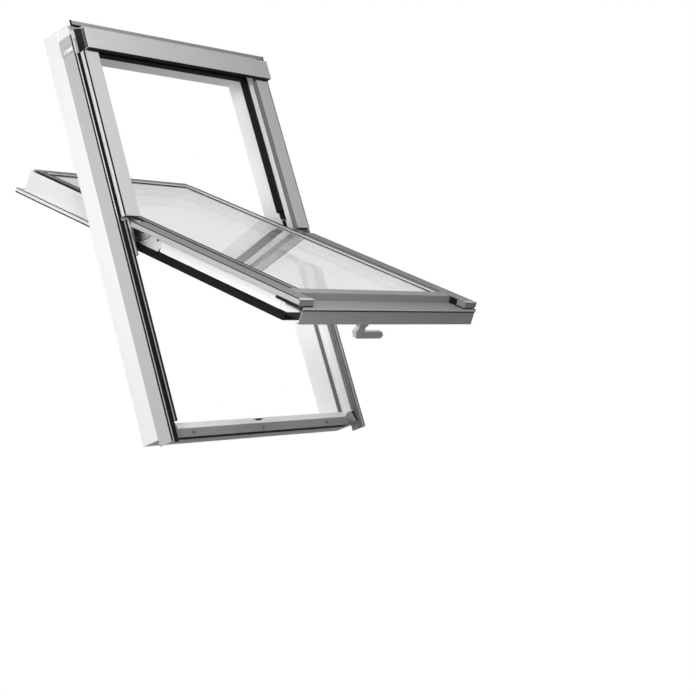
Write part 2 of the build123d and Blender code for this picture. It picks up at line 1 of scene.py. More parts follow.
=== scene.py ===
import bpy
import json
import math
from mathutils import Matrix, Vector


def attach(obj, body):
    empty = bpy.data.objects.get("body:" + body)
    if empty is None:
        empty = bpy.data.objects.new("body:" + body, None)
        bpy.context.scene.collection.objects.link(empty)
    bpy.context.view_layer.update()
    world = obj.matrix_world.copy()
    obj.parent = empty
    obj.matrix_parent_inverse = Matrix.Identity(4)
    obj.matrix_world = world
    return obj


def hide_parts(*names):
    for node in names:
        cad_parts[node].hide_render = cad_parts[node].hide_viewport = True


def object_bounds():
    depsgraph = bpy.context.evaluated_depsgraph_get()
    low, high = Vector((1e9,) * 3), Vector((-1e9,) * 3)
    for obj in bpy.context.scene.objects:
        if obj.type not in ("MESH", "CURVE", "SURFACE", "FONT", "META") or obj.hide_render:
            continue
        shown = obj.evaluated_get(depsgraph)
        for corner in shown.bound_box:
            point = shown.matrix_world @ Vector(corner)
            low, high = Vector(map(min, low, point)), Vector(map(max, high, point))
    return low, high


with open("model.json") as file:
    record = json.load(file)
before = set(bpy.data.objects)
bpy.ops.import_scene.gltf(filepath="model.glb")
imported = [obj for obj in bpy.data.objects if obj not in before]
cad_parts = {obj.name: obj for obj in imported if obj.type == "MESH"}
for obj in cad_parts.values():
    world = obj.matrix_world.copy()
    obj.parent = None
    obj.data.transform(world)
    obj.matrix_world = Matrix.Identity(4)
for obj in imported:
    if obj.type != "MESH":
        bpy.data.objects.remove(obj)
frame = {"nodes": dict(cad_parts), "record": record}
cadBox = [list(corner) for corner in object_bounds()]
nodes = frame["nodes"]
print("frame loaded:", len(nodes), "nodes")


# shared shader groups

def addNode(tree, kind, spot, inputs=None, **settings):
    node = tree.nodes.new(kind)
    node.location = spot
    for key, value in settings.items():
        setattr(node, key, value)
    for key, value in (inputs or {}).items():
        node.inputs[key].default_value = value
    return node


def newGroup(name, inputs, outputs):
    group = bpy.data.node_groups.new(name, "ShaderNodeTree")
    for socketName, value in inputs.items():
        socket = group.interface.new_socket(
            socketName, in_out="INPUT", socket_type="NodeSocketFloat")
        socket.default_value = value
    for socketName, socketType in outputs.items():
        group.interface.new_socket(socketName, in_out="OUTPUT", socket_type=socketType)
    start = addNode(group, "NodeGroupInput", (-900, 0))
    end = addNode(group, "NodeGroupOutput", (500, 0))
    return group, start, end


grainLook = {"scale": 900.0, "blotchScale": 9.0, "detail": 2.0, "blotchDetail": 3.0}


def buildGrainGroup(values):
    group, start, end = newGroup(
        "fineGrain", {"Scale": values["scale"], "Blotch Scale": values["blotchScale"]},
        {"Height": "NodeSocketFloat", "Blotch": "NodeSocketFloat"})
    link = group.links.new
    coords = addNode(group, "ShaderNodeTexCoord", (-900, -200))
    fine = addNode(group, "ShaderNodeTexNoise", (-500, 120), {"Detail": values["detail"]})
    blotch = addNode(group, "ShaderNodeTexNoise", (-500, -200),
                     {"Detail": values["blotchDetail"]})
    link(coords.outputs["Object"], fine.inputs["Vector"])
    link(coords.outputs["Object"], blotch.inputs["Vector"])
    link(start.outputs["Scale"], fine.inputs["Scale"])
    link(start.outputs["Blotch Scale"], blotch.inputs["Scale"])
    link(fine.outputs["Fac"], end.inputs["Height"])
    link(blotch.outputs["Fac"], end.inputs["Blotch"])
    return group


# flat and sharp are the cosines between the true and the softened normal
edgeLook = {"radius": 0.001, "samples": 4, "flat": 0.99, "sharp": 0.8}


def buildEdgeGroup(values):
    group, start, end = newGroup(
        "softEdge", {"Radius": values["radius"]},
        {"Normal": "NodeSocketVector", "Edge": "NodeSocketFloat"})
    link = group.links.new
    bevel = addNode(group, "ShaderNodeBevel", (-500, 100), samples=values["samples"])
    surface = addNode(group, "ShaderNodeNewGeometry", (-500, -200))
    compare = addNode(group, "ShaderNodeVectorMath", (-250, -60), operation="DOT_PRODUCT")
    fade = addNode(group, "ShaderNodeMapRange", (0, -60),
                   {"From Min": values["flat"], "From Max": values["sharp"]})
    link(start.outputs["Radius"], bevel.inputs["Radius"])
    link(bevel.outputs["Normal"], compare.inputs[0])
    link(surface.outputs["Normal"], compare.inputs[1])
    link(compare.outputs["Value"], fade.inputs["Value"])
    link(bevel.outputs["Normal"], end.inputs["Normal"])
    link(fade.outputs["Result"], end.inputs["Edge"])
    return group


grainGroup = buildGrainGroup(grainLook)
edgeGroup = buildEdgeGroup(edgeLook)


# materials: a colour that drifts, painted shade lines and painted highlights along the edges, a
# rough grain

def newMaterial(name):
    material = bpy.data.materials.new(name)
    material.use_nodes = True
    tree = material.node_tree
    return material, tree, tree.nodes["Principled BSDF"]


def surfaceMaterial(name, values):
    material, tree, shader = newMaterial(name)
    link = tree.links.new
    grain = addNode(tree, "ShaderNodeGroup", (-1000, 0),
                    {"Scale": values["grainScale"], "Blotch Scale": values["blotchScale"]},
                    node_tree=grainGroup)
    edge = addNode(tree, "ShaderNodeGroup", (-1000, -300), {"Radius": values["edgeRadius"]},
                   node_tree=edgeGroup)
    drift = addNode(tree, "ShaderNodeMix", (-700, 200),
                    {"A": (*values["colour"], 1), "B": (*values["colourDrift"], 1)},
                    data_type="RGBA")
    # painted edge light: the edge mask mixes in a darker colour as a painted shade line, or a
    # lighter one as a painted highlight
    paintedEdgeMix = addNode(tree, "ShaderNodeMix", (-450, 200), {"B": (*values["paintedEdgeColour"], 1)},
                  data_type="RGBA")
    paintedEdgeWeight = addNode(tree, "ShaderNodeMath", (-700, -60), {1: values["paintedEdgeAmount"]},
                        operation="MULTIPLY")
    rough = addNode(tree, "ShaderNodeMapRange", (-450, -60),
                    {"To Min": values["roughness"] - values["roughDrift"],
                     "To Max": values["roughness"] + values["roughDrift"]})
    bump = addNode(tree, "ShaderNodeBump", (-450, -340),
                   {"Strength": values["bumpStrength"], "Distance": values["bumpDepth"]})
    link(grain.outputs["Blotch"], drift.inputs["Factor"])
    link(drift.outputs["Result"], paintedEdgeMix.inputs["A"])
    link(edge.outputs["Edge"], paintedEdgeWeight.inputs[0])
    link(paintedEdgeWeight.outputs["Value"], paintedEdgeMix.inputs["Factor"])
    link(paintedEdgeMix.outputs["Result"], shader.inputs["Base Color"])
    link(grain.outputs["Blotch"], rough.inputs["Value"])
    link(rough.outputs["Result"], shader.inputs["Roughness"])
    link(grain.outputs["Height"], bump.inputs["Height"])
    link(edge.outputs["Normal"], bump.inputs["Normal"])
    link(bump.outputs["Normal"], shader.inputs["Normal"])
    shader.inputs["Metallic"].default_value = values["metallic"]
    shader.inputs["Specular IOR Level"].default_value = values["specular"]
    return material


# the edge colour and amount in each finish are painted light: darker than the colour gives a
# painted shade line, lighter gives a painted highlight
whitePvc = {
    "colour": (0.86, 0.865, 0.865), "colourDrift": (0.83, 0.835, 0.835),
    "paintedEdgeColour": (0.9, 0.9, 0.9), "paintedEdgeAmount": 0.3, "edgeRadius": 0.0012, "grainScale": 700.0,
    "blotchScale": 6.0, "roughness": 0.3, "roughDrift": 0.06, "bumpStrength": 0.08,
    "bumpDepth": 0.0002, "metallic": 0.0, "specular": 0.45,
}
greyCoat = {
    "colour": (0.5, 0.503, 0.505), "colourDrift": (0.47, 0.473, 0.475),
    "paintedEdgeColour": (0.14, 0.14, 0.14), "paintedEdgeAmount": 0.7, "edgeRadius": 0.0022,
    "grainScale": 1400.0, "blotchScale": 7.0, "roughness": 0.5, "roughDrift": 0.06,
    "bumpStrength": 0.1, "bumpDepth": 0.0002, "metallic": 0.0, "specular": 0.2,
}
# the covers and the hood are the same grey cladding painted lighter where they catch more light:
# painted light; the hood's edges get painted highlights
coverLitCoat = {**greyCoat, "colour": (0.67, 0.673, 0.675), "colourDrift": (0.64, 0.643, 0.645)}
hoodLitCoat = {
    **coverLitCoat, "paintedEdgeColour": (0.75, 0.75, 0.75), "paintedEdgeAmount": 0.5, "edgeRadius": 0.0015,
}
# painted highlight: near-white grey laid on folds, edges and lever facets where light glints
highlightCoat = {
    **greyCoat, "colour": (0.88, 0.88, 0.88), "colourDrift": (0.84, 0.84, 0.84),
    "paintedEdgeAmount": 0.0,
}
# painted shade: dark grey laid on faces in shade, such as the inner cover wall, the hood end, the
# sill end, the hook plate and the left hinge guide
shadeCoat = {**greyCoat, "colour": (0.19, 0.19, 0.192), "colourDrift": (0.17, 0.17, 0.172)}
# painted shade: a copy of the grey cladding painted darker for the sash covers, and for the sill
# cladding in the shade under the sash
sashShadedCoat = {**greyCoat, "colour": (0.265, 0.267, 0.27), "colourDrift": (0.25, 0.252, 0.255)}
# painted light: a copy of the grey cladding painted lighter than the sash covers, for the flange
# side that faces the lamps
flangeLitCoat = {
    **greyCoat, "colour": (0.44, 0.442, 0.445), "colourDrift": (0.42, 0.422, 0.425),
    "paintedEdgeAmount": 0.2,
}
# painted shade: a darker copy of the grey cladding for the rail covers, drip cover and hood
# plate, with painted highlights on the edges
railShadedCoat = {
    **sashShadedCoat, "colour": (0.37, 0.372, 0.375), "colourDrift": (0.35, 0.352, 0.355),
    "paintedEdgeColour": (0.85, 0.85, 0.85), "paintedEdgeAmount": 0.8,
}
blackSeal = {
    "colour": (0.008, 0.008, 0.0085), "colourDrift": (0.014, 0.014, 0.0145),
    "paintedEdgeColour": (0.03, 0.03, 0.03), "paintedEdgeAmount": 0.4, "edgeRadius": 0.0012,
    "grainScale": 1100.0, "blotchScale": 14.0, "roughness": 0.55, "roughDrift": 0.12,
    "bumpStrength": 0.3, "bumpDepth": 0.0003, "metallic": 0.0, "specular": 0.06,
}
# painted light: the right-hand seals are black rubber painted grey for the light falling on them
litSealCoat = {**blackSeal, "colour": (0.2, 0.2, 0.201), "colourDrift": (0.17, 0.17, 0.171)}
blackPlastic = {
    "colour": (0.01, 0.01, 0.0105), "colourDrift": (0.016, 0.016, 0.016),
    "paintedEdgeColour": (0.04, 0.04, 0.04), "paintedEdgeAmount": 0.5, "edgeRadius": 0.0008,
    "grainScale": 1600.0, "blotchScale": 20.0, "roughness": 0.4, "roughDrift": 0.08,
    "bumpStrength": 0.25, "bumpDepth": 0.0002, "metallic": 0.0, "specular": 0.1,
}
greyPlastic = {
    "colour": (0.5, 0.5, 0.505), "colourDrift": (0.47, 0.47, 0.475),
    "paintedEdgeColour": (0.12, 0.12, 0.12), "paintedEdgeAmount": 0.7, "edgeRadius": 0.002,
    "grainScale": 1600.0, "blotchScale": 18.0, "roughness": 0.45, "roughDrift": 0.08,
    "bumpStrength": 0.3, "bumpDepth": 0.0002, "metallic": 0.0, "specular": 0.45,
}
bareSpacer = {
    "colour": (0.62, 0.63, 0.64), "colourDrift": (0.52, 0.53, 0.54),
    "paintedEdgeColour": (0.75, 0.75, 0.75), "paintedEdgeAmount": 0.3, "edgeRadius": 0.0006,
    "grainScale": 2500.0, "blotchScale": 30.0, "roughness": 0.35, "roughDrift": 0.08,
    "bumpStrength": 0.2, "bumpDepth": 0.0001, "metallic": 0.9, "specular": 0.5,
}
brightZinc = {
    "colour": (0.72, 0.73, 0.74), "colourDrift": (0.66, 0.67, 0.68),
    "paintedEdgeColour": (0.3, 0.3, 0.3), "paintedEdgeAmount": 0.6, "edgeRadius": 0.0014, "grainScale": 1800.0,
    "blotchScale": 25.0, "roughness": 0.38, "roughDrift": 0.08, "bumpStrength": 0.12,
    "bumpDepth": 0.0002, "metallic": 0.7, "specular": 0.5,
}
darkZinc = {
    **brightZinc, "colour": (0.1, 0.1, 0.1), "colourDrift": (0.08, 0.08, 0.08), "metallic": 0.2,
}
leverCoat = {
    "colour": (0.6, 0.6, 0.605), "colourDrift": (0.55, 0.55, 0.555),
    "paintedEdgeColour": (0.7, 0.7, 0.7), "paintedEdgeAmount": 0.7, "edgeRadius": 0.0007, "grainScale": 1500.0,
    "blotchScale": 20.0, "roughness": 0.36, "roughDrift": 0.06, "bumpStrength": 0.15,
    "bumpDepth": 0.0002, "metallic": 0.5, "specular": 0.5,
}
clearGlass = {
    "colour": (0.835, 0.85, 0.845), "ior": 1.46, "dustScale": 60.0, "dustRoughness": 0.02,
    "dustLow": 0.55, "dustHigh": 0.9,
}


def glassMaterial(name, values):
    material, tree, shader = newMaterial(name)
    link = tree.links.new
    output = tree.nodes["Material Output"]
    shader.inputs["Base Color"].default_value = (*values["colour"], 1)
    shader.inputs["Transmission Weight"].default_value = 1.0
    shader.inputs["IOR"].default_value = values["ior"]
    coords = addNode(tree, "ShaderNodeTexCoord", (-900, 0))
    dust = addNode(tree, "ShaderNodeTexNoise", (-700, 0), {"Scale": values["dustScale"]})
    film = addNode(tree, "ShaderNodeMapRange", (-450, 0),
                   {"From Min": values["dustLow"], "From Max": values["dustHigh"],
                    "To Max": values["dustRoughness"]})
    # daylight passes the panes without a shadow
    path = addNode(tree, "ShaderNodeLightPath", (0, 300))
    clear = addNode(tree, "ShaderNodeBsdfTransparent", (0, -500))
    pick = addNode(tree, "ShaderNodeMixShader", (300, 0))
    link(coords.outputs["Object"], dust.inputs["Vector"])
    link(dust.outputs["Fac"], film.inputs["Value"])
    link(film.outputs["Result"], shader.inputs["Roughness"])
    link(path.outputs["Is Shadow Ray"], pick.inputs["Fac"])
    link(shader.outputs["BSDF"], pick.inputs[1])
    link(clear.outputs["BSDF"], pick.inputs[2])
    link(pick.outputs["Shader"], output.inputs["Surface"])
    return material


# painted shade on each slide, standing for the shade and reflection of the dark guide, growing
# darker along y
slideShadeLook = {"shadeStart": -0.11, "shadeFull": -0.087, "colour": (0.06, 0.06, 0.06)}


def shadedSlideMaterial(name, values, slideShade):
    material = surfaceMaterial(name, values)
    tree = material.node_tree
    link = tree.links.new
    baseColour = tree.nodes["Principled BSDF"].inputs["Base Color"]
    coords = addNode(tree, "ShaderNodeTexCoord", (-900, 600))
    parts = addNode(tree, "ShaderNodeSeparateXYZ", (-700, 600))
    amount = addNode(tree, "ShaderNodeMapRange", (-450, 600),
                     {"From Min": slideShade["shadeStart"], "From Max": slideShade["shadeFull"]})
    # painted shade mixed into the base colour
    film = addNode(tree, "ShaderNodeMix", (-200, 400), {"B": (*slideShade["colour"], 1)},
                   data_type="RGBA")
    link(coords.outputs["Object"], parts.inputs["Vector"])
    link(parts.outputs["Y"], amount.inputs["Value"])
    link(amount.outputs["Result"], film.inputs["Factor"])
    link(baseColour.links[0].from_socket, film.inputs["A"])
    link(film.outputs["Result"], baseColour)
    return material


# painted highlight
paintedHighlight = surfaceMaterial("painted highlight grey", highlightCoat)
# painted shade
paintedShade = surfaceMaterial("painted shade grey", shadeCoat)
# painted light on the sash flange side
flangeLitTrim = surfaceMaterial("grey flange painted lighter", flangeLitCoat)
# painted shade on the hood plate
hoodPlateShade = surfaceMaterial("grey hood plate painted darker", railShadedCoat)
finishes = {
    "frame_pvc": surfaceMaterial("white pvc frame", whitePvc),
    "sash_pvc": surfaceMaterial("white pvc sash", whitePvc),
    "cladding": surfaceMaterial("grey coated aluminium", greyCoat),
    "seal": surfaceMaterial("black rubber seal", blackSeal),
    "black_plastic": surfaceMaterial("black moulded plastic", blackPlastic),
    "grey_plastic": surfaceMaterial("grey moulded plastic", greyPlastic),
    "glass": glassMaterial("clear float glass", clearGlass),
    "spacer": surfaceMaterial("bare spacer bar", bareSpacer),
    "hinge_metal": surfaceMaterial("bright zinc hinge", brightZinc),
    "fastener": surfaceMaterial("bright zinc screws", brightZinc),
    "handle": surfaceMaterial("satin grey lever", leverCoat),
}
ownFinish = {
    # painted light: covers and hood take a lighter copy of the grey cladding
    surfaceMaterial("grey covers painted lighter", coverLitCoat): ["left_upper_cover", "right_upper_cover"],
    surfaceMaterial("grey hood painted lighter", hoodLitCoat): ["hood"],
    surfaceMaterial("dark zinc screws", darkZinc): ["slide_screws", "sill_screws"],
    # painted shade on the hinge slides
    shadedSlideMaterial("zinc slide with painted shade", brightZinc, slideShadeLook): [
        "left_hinge_slide", "right_hinge_slide"],
    # painted shade: sash covers and the sill cladding take a darker copy of the grey cladding
    surfaceMaterial("grey sash covers painted darker", sashShadedCoat): [
        "left_stile_cladding", "right_stile_cladding", "left_side_strip", "right_side_strip",
        "top_strip", "sill_cladding"],
    # painted shade, with painted edge highlights, on the rail cladding and drip cover
    surfaceMaterial("grey rail covers painted darker", railShadedCoat): ["rail_cladding", "drip_cover"],
    # painted light on the right-hand seals
    surfaceMaterial("black rubber seal painted grey where lit", litSealCoat): [
        "right_front_seal", "right_ledge_seal", "right_channel_seal"],
    surfaceMaterial("white moulded guide", whitePvc): ["right_hinge_guide"],
    # painted shade: the left hinge guide is the same white moulding as the right one, painted
    # dark grey
    paintedShade: ["left_hinge_guide"],
}
for entry in frame["record"]["subparts"]:
    piece = nodes[entry["node"]]
    piece.data.materials.clear()
    piece.data.materials.append(finishes[entry["material_slot"]])
for material, nodeNames in ownFinish.items():
    for nodeName in nodeNames:
        nodes[nodeName].data.materials[0] = material
print("materials placed:", len(finishes) + len(ownFinish))


# small pieces, in millimetres for the closed window, as (x, y, z) of the right-hand one

perMetre = 1000
sideSigns = {"left": -1, "right": 1}
quarterTurn = math.radians(90)
pinVertices = 24
arcSegments = {"around": 96, "across": 8}
sashTurn = math.radians(50.0)
pivotPlace = Vector((0.0, -35.0, 593.0)) / perMetre
seat = Vector((0.0, 80.0, 17.0)) / perMetre


def editAll():
    bpy.ops.object.mode_set(mode="EDIT")
    bpy.ops.mesh.select_all(action="SELECT")


def cutAway(through, away):
    bpy.ops.mesh.select_all(action="SELECT")
    bpy.ops.mesh.bisect(plane_co=through, plane_no=away, use_fill=True, clear_outer=True)


# takes the new piece in edit mode, opens it with the sash and moves it to the shared frame
def settle(values, side):
    piece = bpy.context.object
    bpy.ops.mesh.select_all(action="SELECT")
    if values["body"] != "frame":
        bpy.ops.transform.rotate(value=sashTurn, orient_axis="X", orient_type="GLOBAL",
                                 center_override=pivotPlace)
    bpy.ops.transform.translate(value=-seat)
    bpy.ops.mesh.normals_make_consistent(inside=False)
    bpy.ops.object.mode_set(mode="OBJECT")
    piece.name = values["name"] if values.get("single") else side + "_" + values["name"]
    piece.data.materials.append(values["finish"])
    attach(piece, values["body"])
    # a piece that replaces a CAD node hides that node
    if "replaces" in values:
        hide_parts(side + "_" + values["replaces"])


def makeBar(values, side):
    low, high = Vector(values["low"]), Vector(values["high"])
    middle, size = (low + high) / (2 * perMetre), (high - low) / perMetre
    middle.x *= sideSigns[side]
    bpy.ops.object.select_all(action="DESELECT")
    bpy.ops.mesh.primitive_cube_add(size=1)
    editAll()
    bpy.ops.transform.resize(value=size, orient_type="GLOBAL", center_override=(0, 0, 0))
    bpy.ops.transform.translate(value=middle)
    for cut in values.get("cuts", []):
        cutAway(Vector(cut["through"]) / perMetre, cut["away"])
    settle(values, side)


def makePin(values, side):
    x, y, z = values["place"]
    bpy.ops.object.select_all(action="DESELECT")
    bpy.ops.mesh.primitive_cylinder_add(
        vertices=pinVertices, radius=values["radius"] / perMetre,
        depth=values["height"] / perMetre)
    editAll()
    bpy.ops.transform.rotate(value=quarterTurn, orient_axis="Y" if values.get("across") else "X",
                             orient_type="GLOBAL", center_override=(0, 0, 0))
    bpy.ops.transform.translate(
        value=(sideSigns[side] * x / perMetre, y / perMetre, z / perMetre))
    settle(values, side)


def makeArc(values, side):
    bpy.ops.object.select_all(action="DESELECT")
    bpy.ops.mesh.primitive_torus_add(
        major_segments=arcSegments["around"], minor_segments=arcSegments["across"],
        major_radius=values["radius"] / perMetre,
        minor_radius=values["thickness"] / (2 * perMetre))
    editAll()
    bpy.ops.transform.rotate(value=quarterTurn, orient_axis="Y", orient_type="GLOBAL",
                             center_override=(0, 0, 0))
    across = Vector((sideSigns[side] * values["x"] / perMetre, 0, 0))
    bpy.ops.transform.translate(value=pivotPlace + across)
    for degrees, turned in ((values["start"], 1), (values["end"], -1)):
        angle = math.radians(degrees)
        cutAway(pivotPlace, Vector((0, math.sin(angle), math.cos(angle))) * turned)
    settle(values, side)


# painted shade: a black strip along the back edge of the sash lip, drawn as a dark line
lipBackShadeLine = {
    "name": "lip_back_shade_line", "body": "sash", "finish": finishes["seal"],
    "low": (328, 56.6, 60), "high": (328.5, 60, 1092),
}
# painted shade: a black strip on the lip's front face, standing for the shade in a groove that is
# not cut
lipFrontShadeLine = {
    "name": "lip_front_shade_line", "body": "sash", "finish": finishes["seal"],
    "low": (328, 46.2, 590), "high": (328.4, 48.4, 1092),
}
# painted shade: a black strip along the folded corner of the side cladding, drawn as a dark line
cladShadeLine = {
    "name": "cladding_shade_line", "body": "frame", "finish": finishes["seal"],
    "low": (386.8, -0.4, 2), "high": (390.3, 2.2, 1066),
}
# painted highlight along the side cladding's front strip
stripHighlight = {
    "name": "cladding_edge_highlight", "body": "frame", "finish": paintedHighlight,
    "low": (383, -0.3, 595), "high": (386.8, 0.1, 1063),
}
sealLip = {
    "name": "front_seal_lip", "body": "frame", "finish": finishes["grey_plastic"],
    "low": (364.6, -3.2, 52), "high": (365.4, 0.6, 586),
}
# painted shade: a black strip filling the channel beside the cover, where the channel lies in
# shadow
coverChannelShade = {
    "name": "cover_channel_shade", "body": "frame", "finish": finishes["seal"],
    "low": (371, -1, 595), "high": (373, 4, 1063),
}
# painted shade: a black strip along the cover's front corner, drawn as a dark line
coverEdgeShadeLine = {
    "name": "cover_edge_shade_line", "body": "frame", "finish": finishes["seal"],
    "low": (368.8, -16.4, 595), "high": (371.4, -12.8, 1063),
}
# painted shade: a dark grey sheet on the cover's inner wall, which lies in shade
coverInnerShade = {
    "name": "cover_inner_shade", "body": "frame", "finish": paintedShade,
    "low": (318.6, -15.6, 595), "high": (319.2, -0.4, 1063),
}
coverScrew = {
    "name": "cover_screw", "body": "frame", "finish": finishes["fastener"],
    "radius": 2.4, "height": 1.2, "place": (345, -16.3, 671),
}
hoodLip = {
    "name": "hood_lip_seal", "body": "frame", "finish": finishes["seal"],
    "low": (0, -33, 1064.4), "high": (367, -19.5, 1065.2),
}
sealTail = {
    "name": "upper_seal_tail", "body": "frame", "finish": finishes["seal"],
    "low": (331.75, 26, 615), "high": (332, 46, 664),
    "cuts": [{"through": (0, -35, 593), "away": (0, 0.5446, -0.8387)}],
}
guideLining = {
    "name": "guide_lining", "body": "frame", "finish": finishes["seal"],
    "low": (336.25, 33, 604), "high": (336.5, 46, 646),
    "cuts": [{"through": (0, -35, 593), "away": (0, -0.5299, 0.848)}],
}
# painted shade: a black strip along the stile cladding's outer corner, drawn as a dark line
stileEdgeShadeLine = {
    "name": "stile_cladding_shade_line", "body": "sash", "finish": finishes["seal"],
    "low": (365.4, -15.3, -3), "high": (367.3, -13.6, 586),
}
# painted light: a lighter sheet over the stile flange side
flangeLitStrip = {
    "name": "stile_flange_lit_trim", "body": "sash", "finish": flangeLitTrim,
    "low": (366.9, -13.4, -3.5), "high": (367.3, -1.1, 586.5),
}
cornerHook = {
    "name": "corner_hook", "body": "sash", "finish": finishes["black_plastic"],
    "low": (350.5, 2.8, -6), "high": (354.3, 10, 79),
}
hookArm = {
    "name": "corner_hook_arm", "body": "sash", "finish": finishes["black_plastic"],
    "low": (358.5, 1.6, -11), "high": (361, 8.4, 51),
}
# painted shade: a dark grey plate beside the corner hook
hookPlateShade = {
    "name": "corner_hook_shade_plate", "body": "sash", "finish": paintedShade,
    "low": (350, 8.4, -4), "high": (358.4, 12.5, 42),
}
railWedge = {
    "name": "rail_end_wedge", "body": "sash", "finish": finishes["black_plastic"],
    "replaces": "rail_plug",
    "low": (350, 15.5, -9.5), "high": (358.5, 33.9, 42),
    "cuts": [{"through": (0, 16.8, -2.5), "away": (0, -0.94, 0.343)}],
}
railSeal = {
    "name": "rail_edge_seal", "body": "sash", "finish": finishes["seal"],
    "low": (40, 40.5, 58.6), "high": (329, 58, 60.2),
}
# painted highlight along the top edge of the end box
endBoxHighlight = {
    "name": "end_box_edge_highlight", "body": "sash", "finish": paintedHighlight,
    "low": (316, -15.4, -4.4), "high": (366.5, -14, 4),
}
# painted shade: a black bar in the gap under the end box
endGapShade = {
    "name": "end_box_gap_shade", "body": "sash", "finish": finishes["seal"],
    "low": (317, 1.2, -4.6), "high": (352, 4, -3.8),
}
# painted shade: a black bar in the gap beside the end box
endSideGapShade = {
    "name": "end_box_side_gap_shade", "body": "sash", "finish": finishes["seal"],
    "low": (314.3, 1.4, -4.6), "high": (315.6, 4, 23),
}
# painted highlight along the drip nose
noseHighlight = {
    "name": "drip_edge_highlight", "body": "sash", "finish": paintedHighlight,
    "low": (0, 4.7, -14.4), "high": (358.4, 6.2, -6),
}
# painted shadow: a black bar under the drip nose
noseShadow = {
    "name": "drip_nose_shadow", "body": "sash", "finish": finishes["seal"],
    "low": (0, 8, -11.5), "high": (358.4, 11.4, -10.9),
}
# painted shade: a black arc outlining the outer rim of the hinge slide
slideRimShadeLine = {
    "name": "slide_rim_shade_line", "body": "sash", "finish": finishes["seal"],
    "radius": 116.8, "thickness": 2.2, "x": 335.3, "start": 51.5, "end": 68.8,
}
# painted shade: a black arc outlining the inner root of the hinge slide
slideRootShadeLine = {
    "name": "slide_root_shade_line", "body": "sash", "finish": finishes["seal"],
    "radius": 69.7, "thickness": 2.8, "x": 335.0, "start": 12, "end": 56,
}
baseSlot = {
    "name": "hinge_base_slot", "body": "sash", "finish": finishes["black_plastic"],
    "low": (328, 6.8, 571), "high": (328.6, 12, 609),
}
plateClip = {
    "name": "hood_plate_clip", "body": "frame", "finish": finishes["black_plastic"],
    "low": (384.5, -10.7, 1133), "high": (389.8, -7.8, 1152.6),
}
# painted shadow: a black strip at the foot of the hood plate
plateFootShadow = {
    "name": "hood_plate_shadow", "body": "frame", "finish": finishes["seal"],
    "low": (354, -10.9, 1132), "high": (384.4, -9.9, 1140.4),
}
# painted shade: a dark grey sheet on the inner lower part of the sill end
sillEndShade = {
    "name": "sill_end_shade", "body": "frame", "finish": paintedShade,
    "low": (361, 8, 18.2), "high": (361.6, 34.3, 31),
    "cuts": [{"through": (0, 8, 18), "away": (0, -0.55, 0.835)}],
}
# painted shadow: a black bar in the gap between the sill end and the side cladding
sillGapShadow = {
    "name": "sill_end_gap_shadow", "body": "frame", "finish": finishes["seal"],
    "low": (361, -4.6, 18.2), "high": (361.6, 10, 48.6),
    "cuts": [
        {"through": (0, -4.4, 18.2), "away": (0, -0.965, 0.263)},
        {"through": (0, 2.4, 18.2), "away": (0, 0.965, -0.263)},
    ],
}
# painted shade: a dark grey sheet on the front of the hood end
hoodEndShade = {
    "name": "hood_end_shade", "body": "frame", "finish": paintedShade,
    "low": (368.9, -33, 1066), "high": (369.4, -22.2, 1123),
}
# painted shade: a black line on the hood end
hoodEndFrontShadeLine = {
    "name": "hood_end_front_shade_line", "body": "frame", "finish": finishes["seal"],
    "low": (369.3, -31.4, 1066), "high": (369.9, -29.4, 1123),
}
# painted shade: a second black line on the hood end
hoodEndBackShadeLine = {
    "name": "hood_end_back_shade_line", "body": "frame", "finish": finishes["seal"],
    "low": (369.3, -26.6, 1066), "high": (369.9, -24.8, 1123),
}
# painted shade: a darker grey sheet on the hood plate front
plateFaceShade = {
    "name": "hood_plate_shaded_face", "body": "frame", "finish": hoodPlateShade,
    "low": (0, -10.5, 1140.8), "high": (384.4, -9.9, 1151.8),
}
# painted highlight along the hood plate's fold
plateHighlight = {
    "name": "hood_plate_highlight", "body": "frame", "finish": paintedHighlight,
    "low": (0, -10.6, 1138.2), "high": (384.4, -9.9, 1140.6),
}
capFill = {
    "name": "cap_slot_fill", "body": "frame", "finish": finishes["grey_plastic"],
    "low": (389.9, 10.9, 1087.9), "high": (392, 33.1, 1092.1),
}
capInlay = {
    "name": "cap_inlay", "body": "frame", "finish": finishes["frame_pvc"],
    "low": (391.6, 2.5, 1071.2), "high": (392.4, 36.5, 1080.4),
}
capDot = {
    "name": "cap_dot", "body": "frame", "finish": finishes["black_plastic"],
    "low": (392.4, 27.5, 1073), "high": (392.7, 32, 1076.5),
}
capLine = {
    "name": "cap_bead", "body": "frame", "finish": finishes["seal"],
    "low": (389.8, -2, 1067.2), "high": (392.4, 0.6, 1112),
}
# painted highlight on the corner cap's front
capHighlight = {
    "name": "cap_front_highlight", "body": "frame", "finish": paintedHighlight,
    "low": (383.2, -2, 1062), "high": (389, -1.4, 1112),
}
# painted shade: a black strip at the inner glazing edge, on the left side only
stripInnerShade = {
    "name": "strip_inner_shade", "body": "sash", "finish": finishes["seal"], "sides": ("left",),
    "low": (281, -15, 78), "high": (289, -13.4, 1042),
}
# painted shade: a black strip at the outer glazing edge, on the left side only
stripOuterShade = {
    "name": "strip_outer_shade", "body": "sash", "finish": finishes["seal"], "sides": ("left",),
    "low": (304, -15, 78), "high": (315, -13.4, 1042),
}
sideBead = {
    "name": "glazing_side_bead", "body": "sash", "finish": finishes["sash_pvc"],
    "sides": ("right",),
    "low": (278.5, -14.6, 78), "high": (288.8, -13, 1042),
}
slideToe = {
    "name": "slide_toe", "body": "sash", "finish": finishes["hinge_metal"],
    "radius": 9.8, "height": 4, "across": True, "place": (334.4, 9.5, 489.5),
}
slideToeRim = {
    "name": "slide_toe_rim", "body": "sash", "finish": finishes["seal"],
    "radius": 12.4, "height": 4, "across": True, "place": (333.8, 9.5, 489.5),
}
